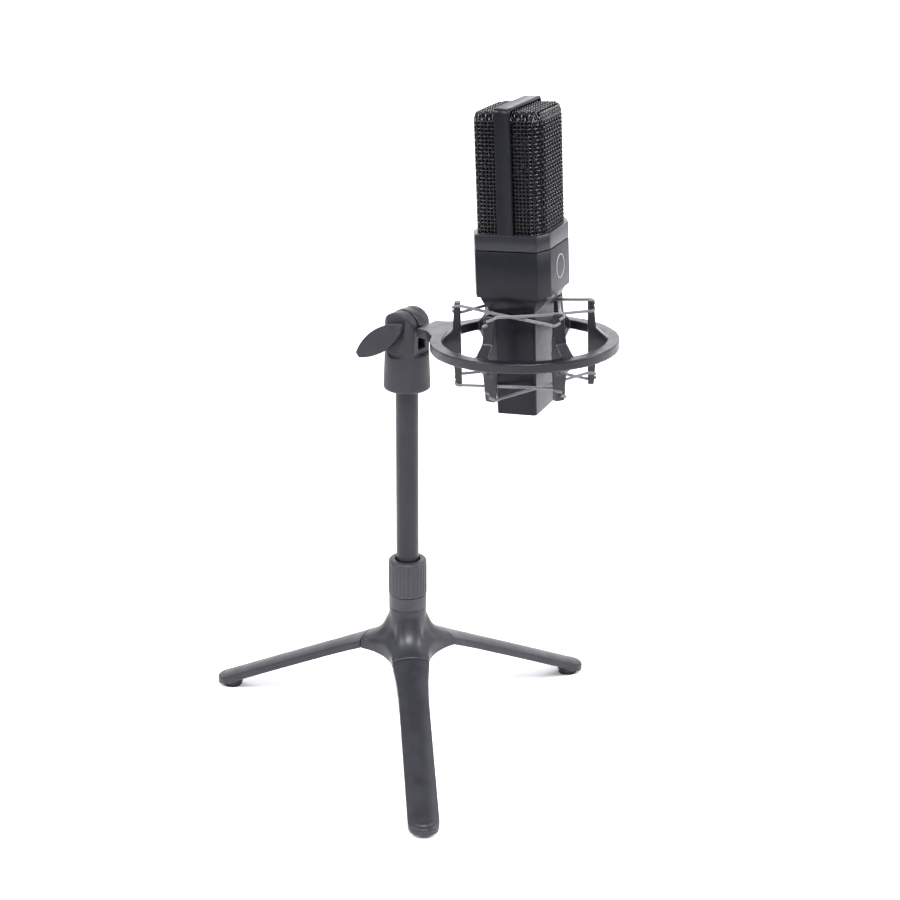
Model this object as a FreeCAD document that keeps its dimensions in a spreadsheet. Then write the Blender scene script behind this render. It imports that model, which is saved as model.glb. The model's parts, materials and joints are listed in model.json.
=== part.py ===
"""Desktop microphone: folding tripod, twist-lock pole, swivel, elastic shock mount, side-address mic."""
import FreeCAD, Part
import math
import os
import re

import Sketcher
from FreeCAD import Placement, Rotation, Vector

# Driving dimensions, in millimetres and degrees. The origin is on the desk, under the middle of the
# stand's outline; the front leg points to -Y.
SIZES = {
    # tripod, measured from the pole's axis
    "leg_tip_reach": 132.8, "leg_width": 17.6, "leg_flare": 4.3, "flare_length": 25.0,
    "seam_reach": 26.5, "seam_gap": 0.3, "seam_crown": 57.0, "leg_fall": 47.0, "leg_droop": 0.5,
    "crown_rise": 2.6, "leg_depth": 7.2, "leg_wall": 2.4, "leg_clearance": 2.2,
    "foot_reach": 123.5, "foot_radius": 5.75, "foot_boss_radius": 6.4, "foot_stem_radius": 2.5,
    "foot_stem_length": 3.5,
    "pin_reach": 22.7, "pin_height": 50.9, "pin_radius": 1.2, "pin_length": 12.0, "pin_clearance": 0.05,
    "knuckle_radius": 2.4, "knuckle_width": 6.0, "knuckle_length": 6.0,
    "ear_length": 15.6, "slot_gap": 0.3,
    "neck_radius": 11.0, "neck_top": 79.6, "hub_sweep": 23.8, "hub_bottom": 49.8, "web_radius": 33.5,
    "flare_start": 70.0, "flare_sweep": 12.0, "flare_slope": 65.0, "ridge_start": 8.0,
    "guide_radius": 7.8, "seat_spigot_radius": 8.8, "seat_spigot_bottom": 72.0,
    "hollow_inner": 10.2, "hollow_outer": 13.5, "hollow_top": 58.0,
    "cover_radius": 14.5, "cover_thickness": 1.8, "cover_hole": 8.0,
    # twist lock and pole
    "seat_radius": 11.1, "seat_top": 87.3, "seat_thread_radius": 9.0, "seat_thread_top": 100.0,
    "collet_radius": 7.8, "collet_inner": 6.65, "collet_bottom": 82.0, "collet_top": 106.5,
    "collet_slit": 1.0, "collar_radius": 11.3, "collar_top": 109.4, "collar_bore": 9.1, "collar_mouth": 7.5,
    "flute_radius": 0.75, "flute_count": 28.0, "collar_round": 1.6,
    "pole_radius": 6.6, "pole_wall": 1.0, "pole_bottom": 56.0, "pole_top": 218.0,
    "stop_radius": 7.6, "stop_bottom": 52.0, "stop_top": 58.0,
    "plug_bottom": 200.0, "thread_radius": 4.7, "thread_top": 234.0,
    # swivel, with its hinge axis at hinge_height
    "hinge_height": 251.0, "swivel_bottom": 214.4, "skirt_radius": 13.5, "skirt_round": 1.2,
    "waist_radius": 12.7, "waist_height": 236.0, "ear_radius": 10.0, "ear_near": 11.2, "ear_far": 9.0,
    "fork_gap": 3.5, "fork_depth": 11.3, "swivel_bore": 6.75, "insert_radius": 7.5, "insert_top": 235.0,
    "insert_bore": 4.75, "bolt_radius": 2.5, "bolt_end": 11.5, "nut_flats": 8.0, "nut_thickness": 3.5,
    "washer_radius": 7.0, "washer_thickness": 0.7, "lug_radius": 10.3, "lug_thickness": 5.5,
    "knob_neck_radius": 3.9, "knob_neck_end": 17.0, "paddle_reach": 26.5, "paddle_width": 13.0,
    "paddle_thickness": 4.2, "paddle_heel": 8.5, "paddle_angle": 38.0, "paddle_sweep": 14.0,
    # shock mount, about the ring's centre
    "head_azimuth": -37.2, "head_tilt": 2.0, "ring_reach": 76.2, "ring_radius": 51.3, "ring_inner": 44.5,
    "ring_height": 5.1, "tab_start": 13.0, "post_radius": 35.8, "post_half_height": 23.4,
    "post_width": 5.4, "post_root": 7.2, "post_tip": 3.2, "post_waist": 2.8, "gusset_height": 8.5,
    "cord_radius": 0.78, "cord_outer": 22.2, "cord_inner": 17.2,
    # microphone, heights from the ring's middle plane
    "mic_turn": 11.0, "mic_lean": 1.0, "head_width": 51.6, "head_depth": 42.6, "side_flat": 33.8,
    "front_flat": 31.6,
    "body_width": 34.0, "body_depth": 24.0, "tail_width": 32.4, "tail_depth": 22.4, "body_chamfer": 1.1,
    "tail_level": -36.0, "body_level": 20.6, "block_level": 30.4, "collar_level": 55.5,
    "grille_level": 64.2, "grille_top": 127.1, "band_top": 129.6, "shell_wall": 1.5,
    "neck_inset": 2.2, "neck_bulge": 0.7, "grille_inset": 2.4,
    "grille_wall": 0.9, "grille_round": 2.5, "band_width": 8.8, "band_thickness": 1.5,
    "emblem_radius": 6.5, "emblem_width": 0.55, "emblem_level": 43.5, "emblem_height": 0.2,
    "socket_radius": 8.9, "socket_inner": 8.0, "socket_depth": 19.0, "contact_radius": 1.2,
    "contact_circle": 3.5, "contact_recess": 5.0, "insert_level": -19.0, "plate_thickness": 2.0,
    "capsule_level": 98.0, "capsule_radius": 13.0, "capsule_thickness": 8.0, "diaphragm_radius": 11.5,
    "diaphragm_thickness": 0.3, "board_thickness": 1.6, "board_width": 25.0, "board_bottom": -10.0,
    "board_top": 24.0,
}

doc = FreeCAD.newDocument("desktop_microphone")
sheet = doc.addObject("Spreadsheet::Sheet", "Sizes")
for row, (alias, size) in enumerate(SIZES.items(), start=1):
    sheet.set(f"A{row}", alias.replace("_", " "))
    sheet.set(f"B{row}", str(size))
    sheet.setAlias(f"B{row}", alias)
doc.recompute()

nodes = {}
LEG_ANGLES = {"front": -90.0, "right": 30.0, "left": 150.0}
UP = Vector(0, 0, 1)
ACROSS = Vector(0, 1, 0)


def formula(text):
    """Point each alias in a formula at the sheet."""
    return re.sub(r"[a-z]+_[a-z_]+", lambda word: f"Sizes.{word.group(0)}", text)


def value(text):
    """The number that a sheet formula gives."""
    return float(sheet.evalExpression(formula(text)))


def bind(piece, **formulas):
    """Drive properties of a piece from the sheet."""
    for name, text in formulas.items():
        piece.setExpression(name, formula(text))


def node(name, piece, place=None):
    """Name a finished sub-part and put it in its place."""
    piece.Label = name
    if place is not None:
        piece.Placement = place
    nodes[name] = piece
    return piece


def outline(body, plane, points):
    """A sketch of a closed outline, each corner held by two distances taken from the sheet."""
    sketch = body.newObject("Sketcher::SketchObject", f"{body.Name}_outline")
    origin_plane = next(item for item in body.Origin.OriginFeatures if item.Role == plane)
    sketch.AttachmentSupport = (origin_plane, [""])
    sketch.MapMode = "FlatFace"
    corners = [Vector(value(x), value(y), 0) for x, y in points]
    for start, end in zip(corners, corners[1:] + corners[:1]):
        sketch.addGeometry(Part.LineSegment(start, end), False)
    for index in range(len(corners)):
        following = (index + 1) % len(corners)
        sketch.addConstraint(Sketcher.Constraint("Coincident", index, 2, following, 1))
    for index, pair in enumerate(points):
        for kind, text in zip(("DistanceX", "DistanceY"), pair):
            number = sketch.addConstraint(Sketcher.Constraint(kind, -1, 1, index, 1, value(text)))
            sketch.setExpression(f"Constraints[{number}]", formula(text))
    return sketch


def turned(name, points):
    """A piece turned about its own Z axis; the points are (radius, height) formulas."""
    body = doc.addObject("PartDesign::Body", name)
    sketch = outline(body, "XZ_Plane", points)
    feature = body.newObject("PartDesign::Revolution", f"{name}_turn")
    feature.Profile = sketch
    feature.ReferenceAxis = (sketch, ["V_Axis"])
    feature.Angle = 360
    return body


def padded(name, plane, points, length, both_ways=False):
    """A flat outline given a thickness along the plane's normal."""
    body = doc.addObject("PartDesign::Body", name)
    feature = body.newObject("PartDesign::Pad", f"{name}_pad")
    feature.Profile = outline(body, plane, points)
    bind(feature, Length=length)
    if both_ways:
        feature.SideType = "Symmetric"
    return body


def tube(name, outer, inner, bottom, top):
    """A plain turned sleeve."""
    return turned(name, [(inner, bottom), (outer, bottom), (outer, top), (inner, top)])


def cylinder(name, radius, height, place=None):
    """A round bar along its own Z axis."""
    piece = doc.addObject("Part::Cylinder", name)
    bind(piece, Radius=radius, Height=height)
    if place is not None:
        piece.Placement = place
    return piece


def block(name, sizes, corner):
    """A box with its lowest corner at the given formulas."""
    piece = doc.addObject("Part::Box", name)
    bind(piece, Length=sizes[0], Width=sizes[1], Height=sizes[2])
    for axis, text in zip("xyz", corner):
        piece.setExpression(f"Placement.Base.{axis}", formula(text))
    return piece


def joined(name, pieces):
    """Several pieces made into one."""
    piece = doc.addObject("Part::MultiFuse", name)
    piece.Shapes = list(pieces)
    return piece


def cut(name, base, tools):
    """A piece with one or more others taken out of it."""
    piece = doc.addObject("Part::Cut", name)
    piece.Base = base
    piece.Tool = tools[0] if len(tools) == 1 else joined(f"{name}_tools", tools)
    return piece


def common(name, pieces):
    """What several pieces share."""
    piece = doc.addObject("Part::MultiCommon", name)
    piece.Shapes = list(pieces)
    return piece


def group(name, pieces):
    """Separate solids kept together as one sub-part."""
    piece = doc.addObject("Part::Compound", name)
    piece.Links = list(pieces)
    return piece


def shaped(name, shape):
    """A free-form piece made with Part's own functions."""
    piece = doc.addObject("Part::Feature", name)
    piece.Shape = shape
    return piece


def at(x=0.0, y=0.0, z=0.0, turn=0.0, about=UP):
    """A placement: a shift, and a turn about one axis."""
    return Placement(Vector(x, y, z), Rotation(about, turn))


def lying(x, y, z):
    """A placement that lays a cylinder's axis along +Y, starting at the point."""
    return Placement(Vector(x, y, z), Rotation(Vector(1, 0, 0), -90))


# The stand's axis is set back so that the origin falls in the middle of the outline.
TIP_CENTRE = value("leg_tip_reach - leg_width / 2")
BACK_REACH = TIP_CENTRE * math.sin(math.radians(30)) + value("leg_width / 2")
POLE_SETBACK = (value("leg_tip_reach") - BACK_REACH) / 2
STAND = at(y=POLE_SETBACK)
HEAD_TURN = Rotation(UP, value("head_azimuth")) * Rotation(-ACROSS, value("head_tilt"))
HEAD = Placement(Vector(0, POLE_SETBACK, value("hinge_height")), HEAD_TURN)
SWIVEL = Placement(Vector(0, POLE_SETBACK, 0), Rotation(UP, value("head_azimuth")))
RING = HEAD * at(x=value("ring_reach"))
LEAN = Placement(Vector(), Rotation(-ACROSS, value("mic_lean")))
MIC = RING * LEAN * at(turn=value("mic_turn"))


# ---------------------------------------------------------------- tripod
def along_leg(reach):
    """How far along the leg a point is: 0 at the seam, 1 near the tip."""
    seam = value("seam_reach")
    return (reach - seam) / (value("foot_reach") + 2.5 - seam)


def leg_section(reach, inset=0.0):
    """The leg's cross-section: upright sides, an arched crown and an open-looking flat base."""
    step = along_leg(reach)
    flare = max(0.0, 1 - (reach - value("seam_reach")) / value("flare_length")) ** 2
    half = (value("leg_width") + value("leg_flare") * flare) / 2 - inset
    crown = value("seam_crown") - value("leg_fall") * step - value("leg_droop") * step ** 2
    base = max(crown - value("leg_depth"), value("leg_clearance"))
    shoulder = max(crown - value("crown_rise"), base + 0.6) - inset
    crown = max(crown, base + value("crown_rise")) - inset
    if inset:
        base -= value("leg_depth")
    return arched_section(reach, half, base, shoulder, crown)


def arched_section(reach, half, base, shoulder, crown):
    """An upright-sided section under an arch."""
    corners = [Vector(reach, -half, base), Vector(reach, -half, shoulder),
               Vector(reach, half, shoulder), Vector(reach, half, base)]
    arch = Part.Arc(corners[1], Vector(reach, 0, crown), corners[2]).toShape()
    sides = [Part.makeLine(corners[0], corners[1]), arch,
             Part.makeLine(corners[2], corners[3]), Part.makeLine(corners[3], corners[0])]
    return Part.Wire(sides)


def leg_shape(start):
    """One arched leg from a start reach to its rounded tip, hollowed underneath."""
    stations = [start, 36, 44, 53, 68, 84, 100, 114, 124, 130, value("leg_tip_reach") + 1]
    solid = Part.makeLoft([leg_section(reach) for reach in stations], True)
    channel = Part.makeLoft([leg_section(reach, value("leg_wall"))
                             for reach in (44, 53, 68, 84, 100, 113)], True)
    half = value("leg_width") / 2
    straight = Part.makeBox(TIP_CENTRE, 4 * half, 90, Vector(0, -2 * half, -5))
    tip = Part.makeCylinder(half, 95, Vector(TIP_CENTRE, 0, -5))
    foot_place = Vector(value("foot_reach"), 0, value("leg_clearance"))
    boss = Part.makeCylinder(value("foot_boss_radius"), 6.0, foot_place)
    hole = Part.makeCylinder(value("foot_stem_radius"), value("foot_stem_length"), foot_place)
    return solid.common(straight.fuse(tip)).cut(channel).fuse(boss).cut(hole).removeSplitter()


def knuckle_shape(radius, width, length):
    """A round-ended tongue about the hinge pin, reaching out along the leg."""
    centre = Vector(value("pin_reach"), -width / 2, value("pin_height"))
    barrel = Part.makeCylinder(radius, width, centre, ACROSS)
    bar = Part.makeBox(length, width, 2 * radius, centre - Vector(0, 0, radius))
    return barrel.fuse(bar)


def hinged_leg_shape():
    """A folding leg: its butting face stops it against the hub, and its tongue turns on the pin."""
    leg = leg_shape(value("seam_reach + seam_gap / 2"))
    tongue = knuckle_shape(value("knuckle_radius"), value("knuckle_width"), value("knuckle_length"))
    bore = Part.makeCylinder(value("pin_radius + pin_clearance"), 20,
                             Vector(value("pin_reach"), -10, value("pin_height")), ACROSS)
    return leg.fuse(tongue).cut(bore).removeSplitter()


def ridge_section(reach):
    """One arm's cross-section: its crown drops from the neck in a large arc and meets the leg's."""
    neck, sweep = value("neck_radius"), value("hub_sweep")
    turned_through = math.acos(1 - max(reach - neck, 0.3) / sweep)
    crown = value("neck_top") - sweep * math.sin(turned_through)
    share = (reach - value("ridge_start")) / value("seam_reach - ridge_start")
    half = value("leg_width + leg_flare") / 2 * (0.6 + 0.4 * share)
    shoulder = crown - value("crown_rise") - 0.45 * (crown - value("seam_crown"))
    return arched_section(reach, half, value("hub_bottom"), shoulder, crown)


def hub_shape():
    """The hub: a neck that sweeps out into three arms, one of them running on as the fixed leg."""
    arm_end = value("seam_reach - seam_gap / 2")
    bottom, top = value("hub_bottom"), value("neck_top")
    half = value("leg_width + leg_flare") / 2
    arms = None
    for angle in LEG_ANGLES.values():
        arm = Part.makeBox(arm_end, 2 * half, top - bottom, Vector(0, -half, bottom))
        arm.rotate(Vector(), UP, angle)
        arms = arm if arms is None else arms.fuse(arm)
    arms = arms.removeSplitter()
    corner = half / math.sin(math.radians(60))
    webs = [edge for edge in arms.Edges
            if abs(edge.CenterOfMass.z - (top + bottom) / 2) < 0.1
            and abs(math.hypot(edge.CenterOfMass.x, edge.CenterOfMass.y) - corner) < 0.1]
    arms = arms.makeFillet(value("web_radius"), webs)
    # the skirt of the neck: upright, then an arc, then a gentle slope out to the seams
    sweep, neck, level = value("flare_sweep"), value("neck_radius"), value("flare_start")
    slope = math.radians(value("flare_slope"))
    start = Vector(neck, 0, level)
    halfway = Vector(neck + sweep * (1 - math.cos(slope / 2)), 0, level - sweep * math.sin(slope / 2))
    finish = Vector(neck + sweep * (1 - math.cos(slope)), 0, level - sweep * math.sin(slope))
    end = Vector(arm_end + 2, 0, value("seam_crown - crown_rise"))
    rest = [finish, end, Vector(end.x, 0, bottom), Vector(0, 0, bottom), Vector(0, 0, top),
            Vector(neck, 0, top), start]
    edges = [Part.Arc(start, halfway, finish).toShape()]
    edges += [Part.makeLine(first, second) for first, second in zip(rest, rest[1:])]
    dome = Part.Face(Part.Wire(edges)).revolve(Vector(), UP, 360)
    hub = arms.common(dome)
    for angle in LEG_ANGLES.values():
        stations = (value("ridge_start"), 12.0, 15.0, 19.0, 23.0, arm_end)
        ridge = Part.makeLoft([ridge_section(reach) for reach in stations], True)
        ridge.rotate(Vector(), UP, angle)
        hub = hub.fuse(ridge)
    fixed_leg = leg_shape(arm_end - 0.5)
    fixed_leg.rotate(Vector(), UP, LEG_ANGLES["right"])
    hub = hub.fuse(fixed_leg)
    for side in ("front", "left"):
        ear = Part.makeCylinder(value("knuckle_radius"), value("ear_length"),
                                Vector(value("pin_reach"), -value("ear_length") / 2, value("pin_height")),
                                ACROSS)
        gap = value("slot_gap")
        slot = knuckle_shape(value("knuckle_radius") + gap, value("knuckle_width") + 2 * gap, 12.0)
        below = Part.makeBox(14, value("knuckle_width") + 2 * gap, 8,
                             Vector(value("pin_reach - knuckle_radius") - gap,
                                    -value("knuckle_width") / 2 - gap, value("pin_height") - 8))
        hole = Part.makeCylinder(value("pin_radius"), value("pin_length"),
                                 Vector(value("pin_reach"), -value("pin_length") / 2, value("pin_height")),
                                 ACROSS)
        for piece in (ear, slot, below, hole):
            piece.rotate(Vector(), UP, LEG_ANGLES[side])
        hub = hub.fuse(ear).cut(slot).cut(below).cut(hole)
    guide = Part.makeCylinder(value("guide_radius"), 60, Vector(0, 0, bottom - 10))
    seat = Part.makeCylinder(value("seat_spigot_radius"), 20, Vector(0, 0, value("seat_spigot_bottom")))
    hollow = Part.makeCylinder(value("hollow_outer"), value("hollow_top") - bottom, Vector(0, 0, bottom))
    hollow = hollow.cut(Part.makeCylinder(value("hollow_inner"), 30, Vector(0, 0, bottom)))
    return hub.cut(guide).cut(seat).cut(hollow).removeSplitter()


def build_tripod():
    node("hub_with_fixed_leg", shaped("hub", hub_shape()), STAND)
    for side in ("front", "left"):
        place = STAND * at(turn=LEG_ANGLES[side])
        node(f"{side}_leg", shaped(f"{side}_leg_shell", hinged_leg_shape()), place)
    pins = []
    for side in ("front", "left"):
        start = lying(value("pin_reach"), -value("pin_length") / 2, value("pin_height"))
        pins.append(cylinder(f"{side}_pin", "pin_radius", "pin_length",
                             STAND * at(turn=LEG_ANGLES[side]) * start))
    node("leg_hinge_pins", group("pins", pins))
    for side, angle in LEG_ANGLES.items():
        foot = turned(f"{side}_rubber", [
            ("0", "0"), ("foot_radius - 0.5", "0"), ("foot_radius", "0.5"), ("foot_radius", "leg_clearance"),
            ("foot_stem_radius", "leg_clearance"), ("foot_stem_radius", "leg_clearance + foot_stem_length"),
            ("0", "leg_clearance + foot_stem_length")])
        node(f"{side}_foot", foot, STAND * at(turn=angle) * at(x=value("foot_reach")))
    cover = turned("base_cover", [
        ("cover_hole", "hub_bottom - cover_thickness"),
        ("cover_radius - 0.6", "hub_bottom - cover_thickness"),
        ("cover_radius", "hub_bottom - cover_thickness + 0.6"), ("cover_radius", "hub_bottom"),
        ("cover_hole", "hub_bottom")])
    node("hub_bottom_cover", cover, STAND)


# ---------------------------------------------------------------- twist lock and pole
def build_pole():
    seat = turned("seat", [
        ("pole_radius + 0.25", "seat_spigot_bottom"), ("seat_spigot_radius", "seat_spigot_bottom"),
        ("seat_spigot_radius", "neck_top"), ("seat_radius", "neck_top"), ("seat_radius", "seat_top"),
        ("seat_thread_radius", "seat_top"), ("seat_thread_radius", "seat_thread_top"),
        ("collet_radius", "seat_thread_top"), ("collet_radius", "collet_bottom"),
        ("pole_radius + 0.25", "collet_bottom")])
    node("collar_seat", seat, STAND)
    sleeve = turned("collet_sleeve", [
        ("collet_inner", "collet_bottom"), ("collet_radius", "collet_bottom"),
        ("collet_radius", "collet_top - 1.5"), ("collet_radius - 0.5", "collet_top"),
        ("collet_inner", "collet_top")])
    slits = []
    for index in range(3):
        slit = block(f"collet_slit_cut_{index}", ("collet_radius * 2", "collet_slit", "collet_top"),
                     ("0", "-collet_slit / 2", "collet_bottom + 4"))
        slits.append(group(f"collet_slit_turn_{index}", [slit]))
        slits[-1].Placement = at(turn=120 * index)
    node("collet", cut("collet_split", sleeve, slits), STAND)
    grip = turned("collar_blank", [
        ("collar_bore", "seat_top + 0.2"), ("collar_radius - 0.4", "seat_top + 0.2"),
        ("collar_radius", "seat_top + 0.6"), ("collar_radius", "collar_top - collar_round"),
        ("collar_radius - collar_round * 0.3", "collar_top - collar_round * 0.3"),
        ("collar_radius - collar_round", "collar_top"), ("collar_mouth", "collar_top"),
        ("collar_mouth", "collet_top + 0.4"), ("collar_bore", "collet_top - 2")])
    count = int(value("flute_count"))
    flutes = []
    for index in range(count):
        angle = 2 * math.pi * index / count
        reach = value("collar_radius + flute_radius * 0.45")
        flutes.append(cylinder(f"flute_{index}", "flute_radius", "collar_top - collar_round - seat_top - 2",
                               at(reach * math.cos(angle), reach * math.sin(angle),
                                  value("seat_top") + 1.2)))
    node("lock_collar", cut("collar_fluted", grip, flutes), STAND)
    pole = tube("pole", "pole_radius", "pole_radius - pole_wall", "pole_bottom", "pole_top")
    node("pole_tube", pole, STAND)
    stop = turned("stop", [
        ("0", "stop_bottom"), ("stop_radius - 0.6", "stop_bottom"), ("stop_radius", "stop_bottom + 0.6"),
        ("stop_radius", "stop_top"), ("pole_radius", "stop_top"), ("pole_radius", "pole_bottom"),
        ("pole_radius - pole_wall", "pole_bottom"), ("pole_radius - pole_wall", "pole_bottom + 8"),
        ("0", "pole_bottom + 8")])
    node("pole_end_stop", stop, STAND)
    stud = turned("stud", [
        ("0", "plug_bottom"), ("pole_radius - pole_wall", "plug_bottom"),
        ("pole_radius - pole_wall", "pole_top"), ("thread_radius", "pole_top"),
        ("thread_radius", "thread_top - 0.8"), ("thread_radius - 0.8", "thread_top"), ("0", "thread_top")])
    node("pole_top_thread", stud, STAND)


# ---------------------------------------------------------------- swivel and clamp
def build_swivel():
    skirt = turned("skirt", [
        ("swivel_bore", "swivel_bottom"), ("skirt_radius - skirt_round", "swivel_bottom"),
        ("skirt_radius", "swivel_bottom + skirt_round"), ("waist_radius", "waist_height"),
        ("waist_radius", "hinge_height + ear_radius"), ("0", "hinge_height + ear_radius"),
        ("0", "insert_top + 0.5"), ("insert_radius", "insert_top + 0.5"), ("insert_radius", "pole_top"),
        ("swivel_bore", "pole_top")])
    round_head = cylinder("round_head", "ear_radius", "skirt_radius * 2",
                          lying(0, -value("skirt_radius"), value("hinge_height")))
    stem = block("stem", ("ear_radius * 2", "skirt_radius * 2", "hinge_height - waist_height + 4"),
                 ("-ear_radius", "-skirt_radius", "waist_height - 4"))
    foot = cylinder("skirt_zone", "skirt_radius", "waist_height - swivel_bottom",
                    at(z=value("swivel_bottom")))
    head = common("swivel_outer", [skirt, joined("swivel_silhouette", [round_head, stem, foot])])
    near_flat = joined("near_flat", [
        cylinder("near_flat_end", "ear_radius - 1", "ear_radius",
                 lying(0, -value("ear_near + ear_radius"), value("hinge_height") - 7)),
        block("near_flat_face", ("ear_radius * 2 - 2", "ear_radius", "ear_radius * 3"),
              ("1 - ear_radius", "-ear_near - ear_radius", "hinge_height - 7"))])
    far_flat = block("far_flat", ("ear_radius * 4", "ear_radius", "ear_radius * 3"),
                     ("-ear_radius * 2", "ear_far", "hinge_height - ear_radius - 6"))
    fork = block("fork_slot", ("ear_radius * 4", "fork_gap * 2", "ear_radius * 3"),
                 ("-ear_radius * 2", "-fork_gap", "hinge_height - fork_depth"))
    bolt_hole = cylinder("bolt_hole", "bolt_radius + 0.15", "ear_radius * 4",
                         lying(0, -value("ear_radius") * 2, value("hinge_height")))
    nut_pocket = hexagon("nut_pocket", "nut_flats + 0.2", "nut_thickness + 4",
                         lying(0, value("ear_far - nut_thickness"), value("hinge_height")))
    body = cut("swivel_cut", head, [near_flat, far_flat, fork, bolt_hole, nut_pocket])
    node("swivel_body", body, SWIVEL)
    insert = tube("insert", "insert_radius", "insert_bore", "pole_top", "insert_top")
    node("swivel_thread_insert", insert, SWIVEL)
    nut = cut("nut_bored", hexagon("nut_blank", "nut_flats", "nut_thickness",
                                   lying(0, value("ear_far - nut_thickness"), 0)),
              [cylinder("nut_bore", "bolt_radius + 0.05", "ear_far * 2", lying(0, 0, 0))])
    node("clamp_nut", nut, at(y=POLE_SETBACK, z=value("hinge_height"), turn=value("head_azimuth")))
    washers = []
    for side, start in (("near", "-fork_gap"), ("far", "fork_gap - washer_thickness")):
        washer = cylinder(f"{side}_washer_blank", "washer_radius", "washer_thickness",
                          lying(0, value(start), 0))
        hole = cylinder(f"{side}_washer_hole", "bolt_radius + 0.15", "ear_far * 2",
                        lying(0, -value("ear_far"), 0))
        washers.append(cut(f"{side}_washer", washer, [hole]))
    node("friction_washers", group("washers", washers),
         at(y=POLE_SETBACK, z=value("hinge_height"), turn=value("head_azimuth")))


def hexagon(name, flats, length, place):
    """A six-sided bar, measured across its flats."""
    piece = doc.addObject("Part::Prism", name)
    piece.Polygon = 6
    bind(piece, Circumradius=f"({flats}) / sqrt(3)", Height=length)
    piece.Placement = place
    return piece


def paddle_shape():
    """The thumb screw's leaf: a thick rounded blade, widest beyond the neck, pointed at both ends."""
    reach, width = value("paddle_reach"), value("paddle_width")
    heel = Vector(-value("paddle_heel"), 0, 0)
    toe = Vector(reach, 0, 0)
    upper = Part.Arc(heel, Vector(reach * 0.36, width / 2, 0), toe).toShape()
    lower = Part.Arc(toe, Vector(reach * 0.36, -width / 2, 0), heel).toShape()
    blade = Part.Face(Part.Wire([upper, lower])).extrude(Vector(0, 0, value("paddle_thickness")))
    square_end = Part.makeBox(reach * 2, width * 2, 20, Vector(reach - 2.2 - reach * 2, -width, -5))
    return blade.common(square_end)


def build_thumb_screw():
    """The leaf lies across the bolt's axis, sweeps away from the swivel and points down and back."""
    neck_start, neck_end = value("ear_near + 0.3"), value("knob_neck_end")
    neck = Part.makeCylinder(value("knob_neck_radius"), neck_end - neck_start,
                             Vector(0, -neck_end, 0), ACROSS)
    blade = paddle_shape()
    blade.rotate(Vector(), ACROSS, -value("paddle_sweep"))
    blade.rotate(Vector(), Vector(1, 0, 0), 90)
    blade.translate(Vector(0, -value("knob_neck_end") + value("paddle_thickness") * 0.75, 0))
    blade.rotate(Vector(), ACROSS, 180 - value("paddle_angle"))
    bolt_hole = Part.makeCylinder(value("bolt_radius"), 12, Vector(0, -neck_end + 3, 0), ACROSS)
    knob = neck.fuse(blade).cut(bolt_hole).removeSplitter()
    place = at(y=POLE_SETBACK, z=value("hinge_height"), turn=value("head_azimuth"))
    node("thumb_screw_knob", shaped("knob", knob), place)
    start = -neck_end + 3
    bolt = cylinder("bolt", "bolt_radius", "bolt_end + knob_neck_end - 3", lying(0, start, 0))
    bolt.Placement = place * bolt.Placement
    node("clamp_bolt", bolt)


# ---------------------------------------------------------------- shock mount
def post_shape():
    """One post: slim at its two ends, and flared out to the ring in the middle."""
    inner, tip = value("post_radius - post_tip / 2"), value("post_radius + post_tip / 2")
    waist, root = value("post_radius + post_waist"), value("ring_inner + 0.6")
    end, gusset, half_ring = value("post_half_height"), value("gusset_height"), value("ring_height / 2")
    narrow, wide = value("post_width / 2"), value("post_root / 2")
    middle = narrow + 0.7 * (wide - narrow)
    levels = [(-end, tip, narrow), (-gusset, waist, middle), (-half_ring, root, wide),
              (half_ring, root, wide), (gusset, waist, middle), (end, tip, narrow)]
    sections = [ring_wire([(inner, -half), (outer, -half), (outer, half), (inner, half)], level)
                for level, outer, half in levels]
    return Part.makeLoft(sections, True, True)


def build_shock_mount():
    rim = cut("rim", cylinder("rim_outer", "ring_radius", "ring_height", at(z=-value("ring_height") / 2)),
              [cylinder("rim_inner", "ring_inner", "ring_height", at(z=-value("ring_height") / 2))])
    pieces = [rim]
    for index in range(6):
        post = shaped(f"post_{index}", post_shape())
        post.Placement = at(turn=30 + 60 * index)
        pieces.append(post)
    reach = "ring_reach"
    tab = padded("tab_plate", "XY_Plane", [
        (f"tab_start - {reach}", "-10"), (f"21 - {reach}", "-12"), (f"29 - {reach}", "-19.5"),
        (f"37 - {reach}", "-19.5"), (f"37 - {reach}", "19.5"), (f"29 - {reach}", "19.5"),
        (f"21 - {reach}", "12"), (f"tab_start - {reach}", "10")], "ring_height", both_ways=True)
    trim = cylinder("tab_trim", "ring_inner", "ring_height * 2", at(z=-value("ring_height")))
    tab = cut("tab", tab, [trim])
    tongue = block("tab_tongue", ("tab_start", "lug_thickness", "ring_height"),
                   (f"1 - {reach}", "-lug_thickness / 2", "-ring_height / 2"))
    lug = cylinder("lug", "lug_radius", "lug_thickness",
                   lying(-value(reach), -value("lug_thickness") / 2, 0))
    hole = cylinder("lug_hole", "bolt_radius + 0.1", "lug_thickness * 3",
                    lying(-value(reach), -value("lug_thickness") * 1.5, 0))
    frame = cut("mount_cut", joined("mount_joined", pieces + [tab, tongue, lug]), [hole])
    node("shock_mount_frame", frame, RING)


def body_section(level):
    """Half width and half depth of the lower body at a height."""
    share = (level - value("tail_level")) / value("body_level - tail_level")
    share = min(max(share, 0.0), 1.0)
    width = value("tail_width") + share * value("body_width - tail_width")
    depth = value("tail_depth") + share * value("body_depth - tail_depth")
    return width / 2, depth / 2


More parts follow.
